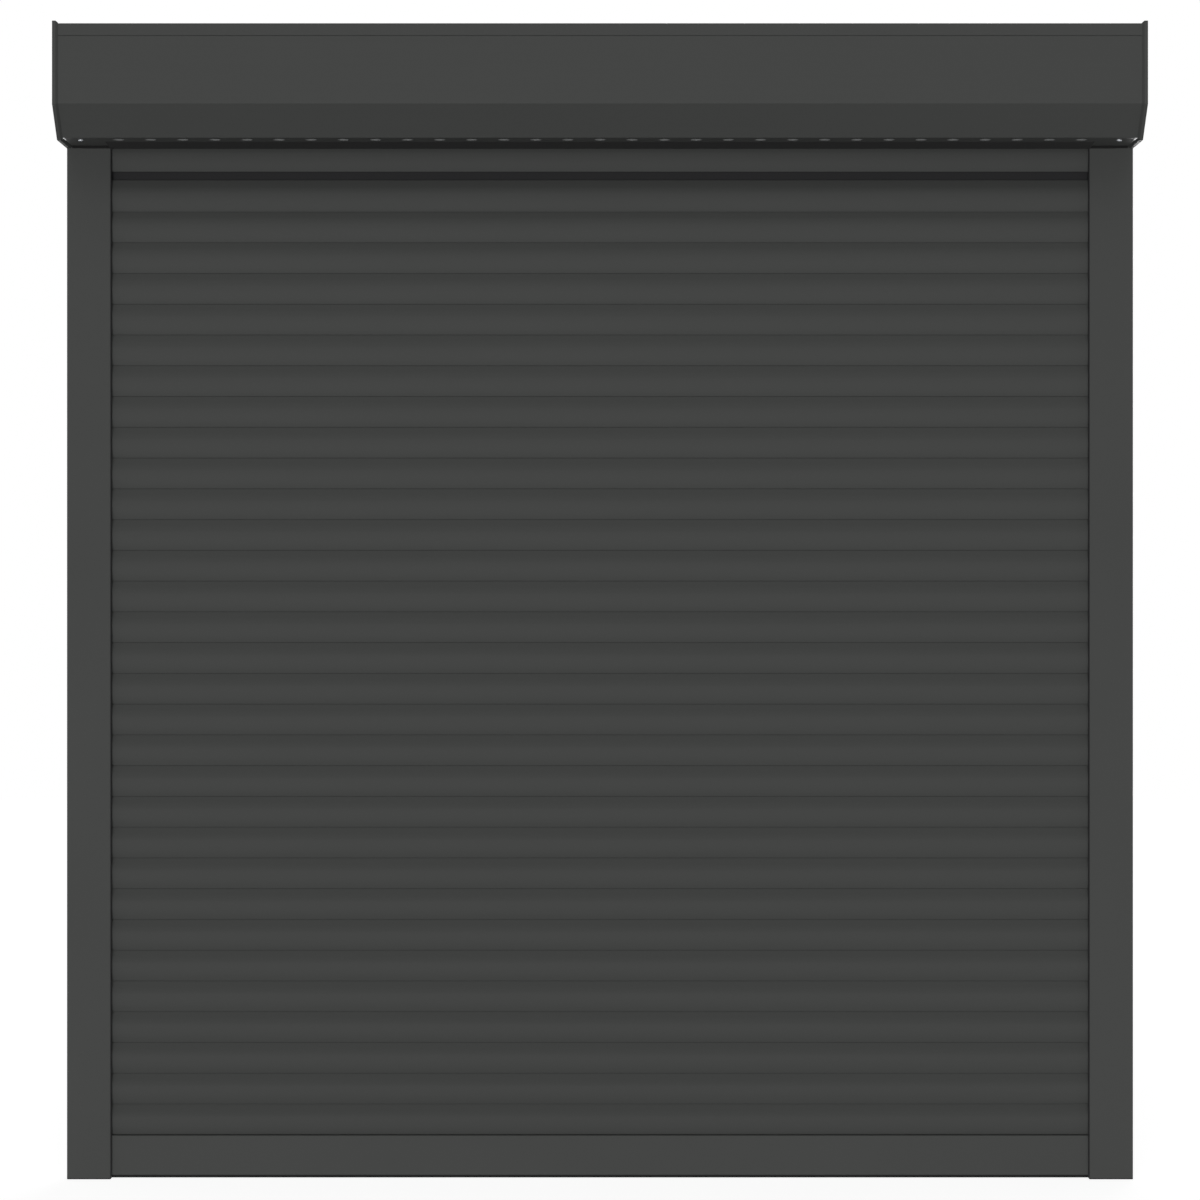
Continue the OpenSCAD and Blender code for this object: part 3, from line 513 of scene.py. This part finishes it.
def cover_cut_ends():
    """The bare cut ends of the cover's underside, beside the end caps."""
    width, depth, height = 2.4 * MM, 19 * MM, 0.4 * MM
    from_wall, sunk, rounding = 88 * MM, 0.1 * MM, 0.12 * MM
    size = Vector((width, depth, height))
    mesh = bmesh.new()
    for side in (-1, 1):
        end = COVER_HIGH.x - size.x / 2
        place = Vector((side * end, WALL_Y - from_wall, COVER_LOW.z - size.z / 2 + sunk))
        bmesh.ops.create_cube(mesh, size=1, matrix=Matrix.LocRotScale(place, None, size))
    bmesh.ops.bevel(mesh, geom=mesh.edges[:], offset=rounding, affect="EDGES", segments=2,
                    profile=0.5, material=-1)
    return mesh


class SHUTTER_OT_screws(bpy.types.Operator):
    """Make the screws of the cover and of the motor's bracket"""

    bl_idname = "shutter.screws"
    bl_label = "Screws"

    def execute(self, context):
        sizes = fittings()
        cover_length, bracket_length = 6.2 * MM, 9.5 * MM
        mesh = bmesh.new()
        row_y = WALL_Y - sizes.vent_from_wall
        for side in (-1, 1):
            x = side * (CAD_BOX[1].x - sizes.cover_screw_in)
            add_screw(mesh, Matrix.Translation((x, row_y, COVER_LOW.z)), cover_length)
        axis = (BRACKET_LOW + BRACKET_HIGH) / 2
        along_x = Matrix.Rotation(math.radians(90), 4, "Y")
        for a in (-1, 1):
            for b in (-1, 1):
                place = Vector((BRACKET_LOW.x, axis.y + a * sizes.bracket_pitch / 2,
                                axis.z + b * sizes.bracket_pitch / 2))
                add_screw(mesh, Matrix.Translation(place) @ along_x, bracket_length)
        screws = new_piece("fixing_screws", mesh, zinc_plate("Zinc-plated screws", finishes().zinc),
                           "frame")
        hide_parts("screws")
        return {"FINISHED"}


def add_screw(mesh, matrix, length):
    """Adds a pan-head screw with a six-lobed recess: its head under z = 0, its shank upwards."""
    sizes = fittings()
    head, height, shank = sizes.screw_head / 2, sizes.screw_head_height, sizes.screw_shank / 2
    recess, recess_depth = 0.5 * head, 0.7 * height
    steps, lobes, lobe_depth = 36, 6, 0.14
    merge_distance, level_distance = 0.001 * MM, 0.0001 * MM
    # Radius and height, from the tip of the shank to the flat on the head
    profile = [(0, length), (0.7 * shank, length), (shank, length - 0.6 * shank), (shank, 0), (head, 0),
               (head, -0.35 * height), (0.93 * head, -0.7 * height), (0.78 * head, -0.93 * height),
               (1.25 * recess, -height)]
    before = set(mesh.verts)
    points = [mesh.verts.new((r, 0, z)) for r, z in profile]
    edges = [mesh.edges.new((points[k - 1], points[k])) for k in range(1, len(points))]
    bmesh.ops.spin(mesh, geom=points + edges, cent=(0, 0, 0), axis=(0, 0, 1), angle=math.tau,
                   steps=steps, use_merge=True)
    rim = [e for e in mesh.edges if e.is_boundary and not set(e.verts) & before
           and all(abs(v.co.z + height) < level_distance for v in e.verts)]
    top = bmesh.ops.contextual_create(mesh, geom=rim)["faces"]
    bmesh.ops.inset_region(mesh, faces=top, thickness=0.25 * recess)
    for v in top[0].verts:
        turn = math.atan2(v.co.y, v.co.x)
        lobe = 1 + lobe_depth * math.cos(lobes * turn)
        v.co.x, v.co.y = lobe * v.co.x, lobe * v.co.y
    sunk = bmesh.ops.extrude_face_region(mesh, geom=top)["geom"]
    floor = [g for g in sunk if isinstance(g, bmesh.types.BMVert)]
    bmesh.ops.translate(mesh, verts=floor, vec=(0, 0, recess_depth))
    bmesh.ops.delete(mesh, geom=top, context="FACES_ONLY")
    added = [v for v in mesh.verts if v not in before]
    bmesh.ops.remove_doubles(mesh, verts=added, dist=merge_distance)
    added = [v for v in mesh.verts if v not in before]
    bmesh.ops.transform(mesh, matrix=matrix, verts=added)


class SHUTTER_OT_slot(bpy.types.Operator):
    """Fit a rubber lip and a rubber apron at the curtain slot; the apron's dark grey is painted shade,
    and so in part is the lip's black
    """

    bl_idname = "shutter.slot"
    bl_label = "Curtain slot"

    def execute(self, context):
        new_piece("slot_lip_and_shade", slot_lip_and_shade(), extruded_rubber("Extruded lip", finishes().rubber_black),
                  "frame")
        new_piece("painted_shade_apron", painted_shade_apron(), extruded_rubber("Painted shade apron", finishes().apron_painted_shade),
                  "frame")
        return {"FINISHED"}


def slot_lip_and_shade():
    """A rubber lip clipped on the cover's edge at the curtain slot, from cap to cap. Its black is in part
    painted shade for the slot and the gap above the rails.
    """
    width, inset, rounding = 1.2 * MM, 0.3 * MM, 0.3 * MM
    edge_y = WALL_Y - fittings().slot_from_wall
    low = Vector((COVER_LOW.x + inset, edge_y - width, COVER_LOW.z - fittings().slot_lip_and_shade))
    high = Vector((COVER_HIGH.x - inset, edge_y, COVER_LOW.z))
    return soft_strip(low, high, rounding)


def painted_shade_apron():
    """A dark wedge under the cover, between the rails, which grows thicker towards the slot: painted
    shade for the rear of the cover's underside, drawn in extruded rubber.
    """
    sizes = fittings()
    front_height, rounding = 0.4 * MM, 0.15 * MM
    edge_y = WALL_Y - sizes.slot_from_wall
    low = Vector((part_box("guide_rail_left")[1].x, edge_y - sizes.apron_depth,
                  COVER_LOW.z - sizes.apron_height))
    high = Vector((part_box("guide_rail_right")[0].x, edge_y, COVER_LOW.z))
    return soft_strip(low, high, rounding, front_rise=sizes.apron_height - front_height)


class SHUTTER_OT_rails(bpy.types.Operator):
    """Dress the guide rails, edge their mouths and fill their grooves with brush seals"""

    bl_idname = "shutter.rails"
    bl_label = "Guide rails"

    def execute(self, context):
        dress(["guide_rail_left", "guide_rail_right"],
              powder_coat("Coated extrusion", finishes().powder_coat))
        dress(["rail_foot_left", "rail_foot_right", "inlet_funnel_left", "inlet_funnel_right"],
              moulded_plastic("Moulded polyamide", finishes().moulded_black))
        pile = brush_pile("Brush pile", finishes().brush_black)
        edging = moulded_plastic("Extruded edging", finishes().moulded_black)
        for name, side in SIDES:
            new_piece(f"mouth_lip_{name}", mouth_lip(name, side), edging, "frame")
            node = f"rail_seals_{name}"
            brush = new_piece(f"brush_seal_{name}", brush_seal(node), pile, "frame")
            rows = brush.modifiers.new("Tufts along the rail", "ARRAY")
            rows.count = round((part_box(node)[1].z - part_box(node)[0].z) / fittings().pile_pitch)
            rows.use_relative_offset = False
            rows.use_constant_offset = True
            rows.constant_offset_displace = (0, 0, fittings().pile_pitch)
            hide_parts(node)
        return {"FINISHED"}


def mouth_lip(name, side):
    """A black lip on the edge of a rail's mouth, clear of the slats behind it."""
    recess, clearance, rounding = 0.6 * MM, 0.6 * MM, 0.15 * MM
    rail_low, rail_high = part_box(f"guide_rail_{name}")
    edge_x = rail_low.x if side > 0 else rail_high.x
    inner_x = edge_x - side * fittings().mouth_lip
    low = Vector((min(edge_x, inner_x), rail_low.y + recess, rail_low.z))
    high = Vector((max(edge_x, inner_x), SLAT_LOW.y - clearance, rail_high.z))
    return soft_strip(low, high, rounding)


def brush_seal(node):
    """One step of a rail's two brush seals: a slice of backing and three tufts on each."""
    sizes = fittings()
    low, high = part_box(node)
    step = sizes.pile_pitch
    middle = (low.x + high.x) / 2
    backing_w, backing_t = high.x - low.x, 1.2 * MM
    pile_w, root_radius, tip_radius = 2.2 * MM, 0.16 * MM, 0.5 * MM
    # The tufts stand in two staggered rows, at these shares of a step
    row_shares = (0.3, 0.7)
    mesh = bmesh.new()
    for face_y, root_y, way in ((SLAT_LOW.y - sizes.pile_gap, low.y, -1),
                                (SLAT_HIGH.y + sizes.pile_gap, high.y, 1)):
        size = Vector((backing_w, backing_t, step))
        place = Vector((middle, root_y - way * backing_t / 2, low.z + step / 2))
        bmesh.ops.create_cube(mesh, size=1, matrix=Matrix.LocRotScale(place, None, size))
        length = abs(root_y - face_y) - backing_t
        lean = Matrix.Rotation(math.radians(90 * way), 4, "X")
        for i in range(3):
            spot = Vector((middle + (i - 1) * pile_w / 3, face_y + way * length / 2,
                           low.z + step * row_shares[i % 2]))
            bmesh.ops.create_cone(mesh, cap_ends=True, segments=5, radius1=root_radius,
                                  radius2=tip_radius, depth=length,
                                  matrix=Matrix.Translation(spot) @ lean)
    return mesh


class SHUTTER_OT_curtain(bpy.types.Operator):
    """Dress the slats"""

    bl_idname = "shutter.curtain"
    bl_label = "Curtain"

    def execute(self, context):
        # The slats' hook strips get a dark colour as painted shade
        dress(SLATS + ["top_slat"],
              coil_coat("Coil-coated slats", finishes().slat_coat_and_shade, finishes().hook_strip_painted_shade))
        return {"FINISHED"}


class SHUTTER_OT_bottom_bar(bpy.types.Operator):
    """Dress the bottom bar, its seal and its glides"""

    bl_idname = "shutter.bottom_bar"
    bl_label = "Bottom bar"

    def execute(self, context):
        dress(["bottom_bar"], powder_coat("Coated bar", finishes().powder_coat))
        rubber = extruded_rubber("Extruded rubber", finishes().rubber_black)
        dress(["bottom_seal"], rubber)
        new_piece("seal_lip", seal_lip(), rubber, "bottom_bar")
        dress(["bar_glide_left", "bar_glide_right"],
              moulded_plastic("Moulded glides", finishes().moulded_black))
        return {"FINISHED"}


def seal_lip():
    """The soft lip under the bottom seal, which meets the sill first."""
    low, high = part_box("bottom_seal")
    inset, sunk, height = 0.4 * MM, 0.1 * MM, fittings().seal_lip
    rounding = 0.3 * height
    size = Vector((high.x - low.x - 2 * inset, high.y - low.y - 2 * inset, height + sunk))
    place = Vector(((low.x + high.x) / 2, (low.y + high.y) / 2, low.z + sunk - size.z / 2))
    mesh = bmesh.new()
    bmesh.ops.create_cube(mesh, size=1, matrix=Matrix.LocRotScale(place, None, size))
    under = [e for e in mesh.edges if all(v.co.z < place.z for v in e.verts)]
    bmesh.ops.bevel(mesh, geom=under, offset=rounding, affect="EDGES", segments=3, profile=0.5,
                    material=-1)
    return mesh


class SHUTTER_OT_drive(bpy.types.Operator):
    """Dress the winding tube, its bearing and its motor"""

    bl_idname = "shutter.drive"
    bl_label = "Winding drive"

    def execute(self, context):
        colours = finishes()
        dress(["winding_tube", "motor_bracket"], zinc_plate("Galvanised steel", colours.zinc))
        dress(["idler_pin", "bearing_inner_ring", "bearing_outer_ring", "motor_shaft"],
              cut_metal("Turned steel", colours.bright_steel, 0.25))
        dress(["hanging_straps"], cut_metal("Blued spring steel", colours.blued_steel, 0.35))
        dress(["idler_plug", "running_ring", "drive_wheel"],
              moulded_plastic("Moulded plugs", colours.moulded_black))
        dress(["tubular_motor"], enamel("Motor enamel", colours.motor_enamel))
        return {"FINISHED"}


# Stage

class SHUTTER_OT_stage(bpy.types.Operator):
    """Set up the floor, the lamps, the background and the camera"""

    bl_idname = "shutter.stage"
    bl_label = "Stage"

    def execute(self, context):
        scene = context.scene
        scene.view_settings.view_transform = "Standard"
        add_world(scene)
        add_floor()
        middle = (CAD_BOX[0] + CAD_BOX[1]) / 2
        # Name, place from the middle of the shutter in metres, strength, and spread in degrees
        lamps = (("Front lamp", Vector((-0.4, -6, -1.5)), studio().front_strength, 20),
                 ("Top lamp", Vector((0, -4, 3.603)), studio().top_strength, 40),
                 ("Rear lamp", Vector((1.4, 6, 0.6)), studio().rear_strength, 30))
        for name, offset, strength, spread in lamps:
            add_lamp(name, middle + offset, middle, strength, math.radians(spread))
        add_camera(scene)
        return {"FINISHED"}


def shows_backdrop(tree):
    """One where the camera, a mirror or glass looks at the backdrop, and zero for its light."""
    path = add(tree, "ShaderNodeLightPath")
    seen = add(tree, "ShaderNodeMath",
               {0: path.outputs["Is Camera Ray"], 1: path.outputs["Is Glossy Ray"]}, operation="MAXIMUM")
    seen = add(tree, "ShaderNodeMath",
               {0: seen.outputs[0], 1: path.outputs["Is Transmission Ray"]}, operation="MAXIMUM")
    return seen.outputs[0]


def add_world(scene):
    """A white background and a weak even light."""
    scene.world = bpy.data.worlds.new("Studio")
    scene.world.use_nodes = True
    tree = scene.world.node_tree
    tree.nodes.clear()
    strength = add(tree, "ShaderNodeMapRange",
                   {"Value": shows_backdrop(tree), "To Min": studio().ambient, "To Max": 1.0})
    background = add(tree, "ShaderNodeBackground",
                     {"Color": linear("#ffffff"), "Strength": strength.outputs[0]})
    add(tree, "ShaderNodeOutputWorld", {"Surface": background.outputs[0]})


def add_floor():
    """A pale floor that the camera sees as white where it is lit, with the object's soft shadow."""
    half_width = 8
    mesh = bmesh.new()
    bmesh.ops.create_grid(mesh, x_segments=1, y_segments=1, size=half_width)
    data = bpy.data.meshes.new("floor")
    mesh.to_mesh(data)
    mesh.free()
    material, tree = new_material("Pale floor")
    matt = add(tree, "ShaderNodeBsdfDiffuse", {"Color": linear(studio().floor_colour)})
    # The glow fills the lit floor up to white and no more, so that the shadow still shows
    glow_share, lit_radiance = 0.5, 0.36
    fill = (1 - (1 - glow_share) * lit_radiance) / glow_share
    glow = add(tree, "ShaderNodeEmission", {"Strength": fill})
    share = add(tree, "ShaderNodeMath", {0: shows_backdrop(tree), 1: glow_share}, operation="MULTIPLY")
    mix = add(tree, "ShaderNodeMixShader",
              {"Fac": share.outputs[0], 1: matt.outputs[0], 2: glow.outputs[0]})
    add(tree, "ShaderNodeOutputMaterial", {"Surface": mix.outputs[0]})
    data.materials.append(material)
    floor = bpy.data.objects.new("floor", data)
    bpy.context.scene.collection.objects.link(floor)
    # The front lamp stands lower than the floor, which lets its light through
    floor.visible_shadow = False


def add_lamp(name, place, target, strength, spread):
    """A distant lamp that points at a target."""
    data = bpy.data.lights.new(name, "SUN")
    data.energy = strength
    data.angle = spread
    lamp = bpy.data.objects.new(name, data)
    lamp.location = place
    lamp.rotation_euler = (target - place).to_track_quat("-Z", "Y").to_euler()
    bpy.context.scene.collection.objects.link(lamp)


def add_camera(scene):
    """A camera straight in front of the shutter."""
    data = bpy.data.cameras.new("Camera")
    data.sensor_width = 36
    data.lens = studio().lens
    camera = bpy.data.objects.new("Camera", data)
    camera.location = (0, WALL_Y - studio().camera_distance, studio().camera_height)
    camera.rotation_euler = (math.radians(90), 0, 0)
    scene.collection.objects.link(camera)
    scene.camera = camera


# Panel and registration

OPERATORS = (SHUTTER_OT_box, SHUTTER_OT_screws, SHUTTER_OT_slot, SHUTTER_OT_rails, SHUTTER_OT_curtain,
             SHUTTER_OT_bottom_bar, SHUTTER_OT_drive, SHUTTER_OT_stage)


class SHUTTER_PT_panel(bpy.types.Panel):
    """Lists the shutter's pieces and the stage"""

    bl_idname = "SHUTTER_PT_panel"
    bl_label = "Roller Shutter"
    bl_space_type = "VIEW_3D"
    bl_region_type = "UI"
    bl_category = "Shutter"

    def draw(self, context):
        for operator in OPERATORS:
            self.layout.operator(operator.bl_idname)


CLASSES = (ShutterFittings, ShutterFinishes, ShutterStudio) + OPERATORS + (SHUTTER_PT_panel,)


def register():
    for cls in CLASSES:
        bpy.utils.register_class(cls)
    bpy.types.Scene.shutter_fittings = bpy.props.PointerProperty(type=ShutterFittings)
    bpy.types.Scene.shutter_finishes = bpy.props.PointerProperty(type=ShutterFinishes)
    bpy.types.Scene.shutter_studio = bpy.props.PointerProperty(type=ShutterStudio)


def unregister():
    del bpy.types.Scene.shutter_studio
    del bpy.types.Scene.shutter_finishes
    del bpy.types.Scene.shutter_fittings
    for cls in reversed(CLASSES):
        bpy.utils.unregister_class(cls)


def main():
    register()
    bpy.ops.shutter.box()
    bpy.ops.shutter.screws()
    bpy.ops.shutter.slot()
    bpy.ops.shutter.rails()
    bpy.ops.shutter.curtain()
    bpy.ops.shutter.bottom_bar()
    bpy.ops.shutter.drive()
    bpy.ops.shutter.stage()


if __name__ == "__main__":
    main()
